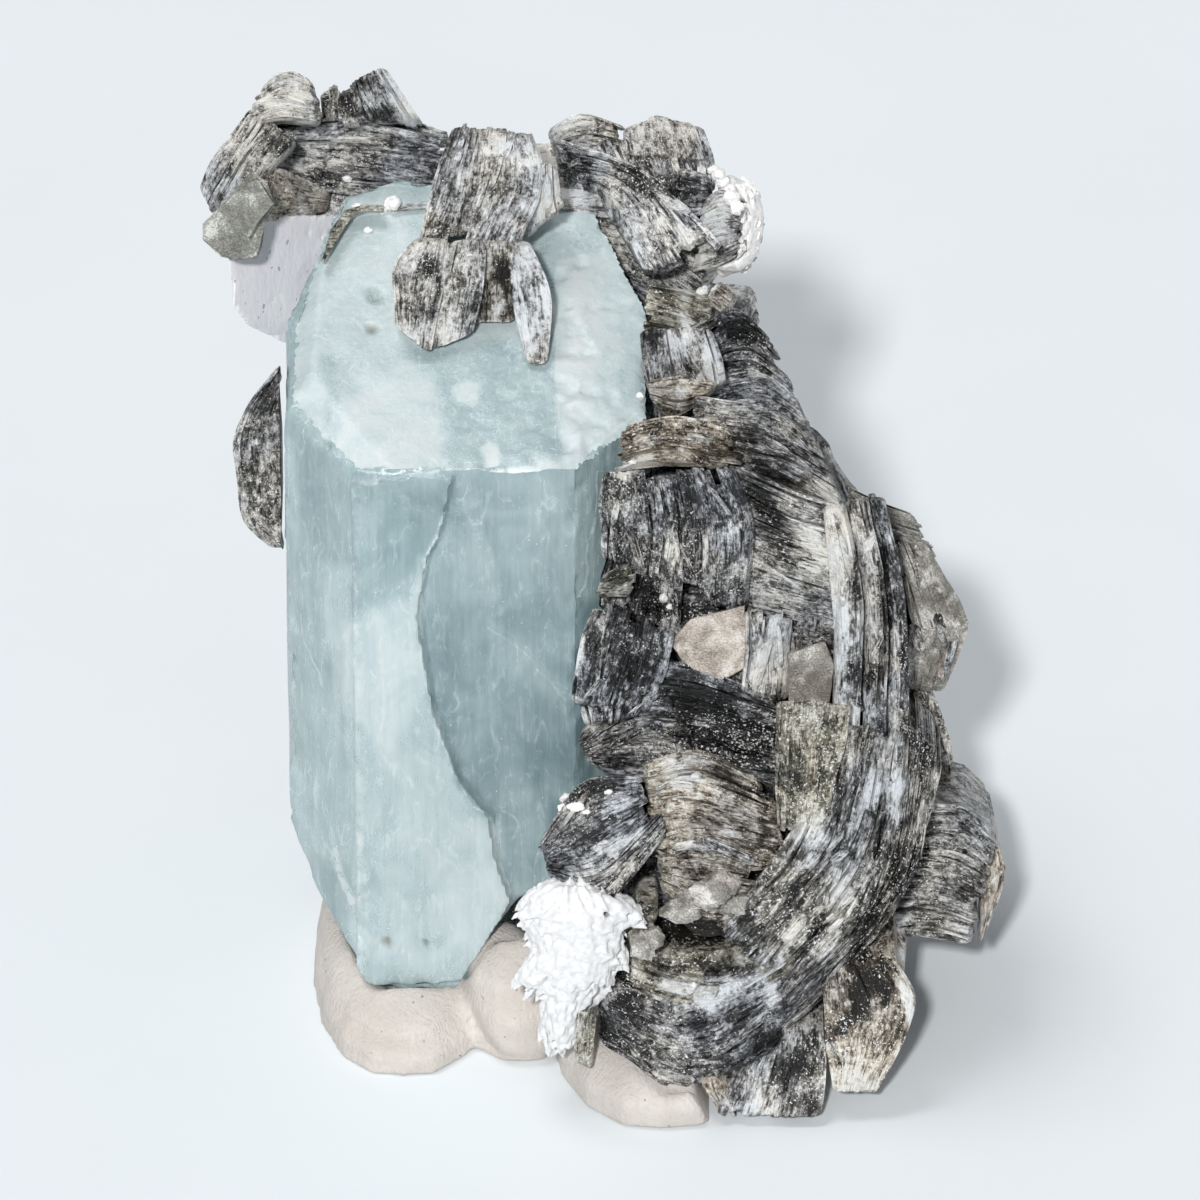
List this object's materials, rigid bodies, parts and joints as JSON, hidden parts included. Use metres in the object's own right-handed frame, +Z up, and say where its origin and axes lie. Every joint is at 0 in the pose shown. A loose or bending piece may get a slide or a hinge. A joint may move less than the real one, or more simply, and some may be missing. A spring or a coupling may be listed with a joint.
{
  "type": "aquamarine crystal specimen",
  "caption": "Stout milky aquamarine prism grown with dark mica books, pale apatite and white albite, standing upright on putty dabs.",
  "frame": {"origin": "middle of the specimen's bounding box, on the plane that the putty stands on", "axes": "+Z up; the display side, with the aquamarine's front face, faces -Y"},
  "size_m": [0.0568, 0.0466, 0.0661],
  "materials": {
    "aquamarine": "milky, striated crystal faces, etched on top",
    "muscovite": "pearly leaf edges, finely striated",
    "apatite": "waxy, pitted",
    "albite": "feathery, bright white",
    "putty": "matt, finger-pressed"
  },
  "bodies": {
    "root": {"aquamarine_crystal": "aquamarine", "mica_cluster": "muscovite", "mica_left_book": "muscovite", "mica_flake": "muscovite", "mica_splinter": "muscovite", "apatite_crystal": "apatite", "albite_spray": "albite", "albite_crust": "albite", "putty_left": "putty", "putty_right": "putty"}
  },
  "joints": []
}
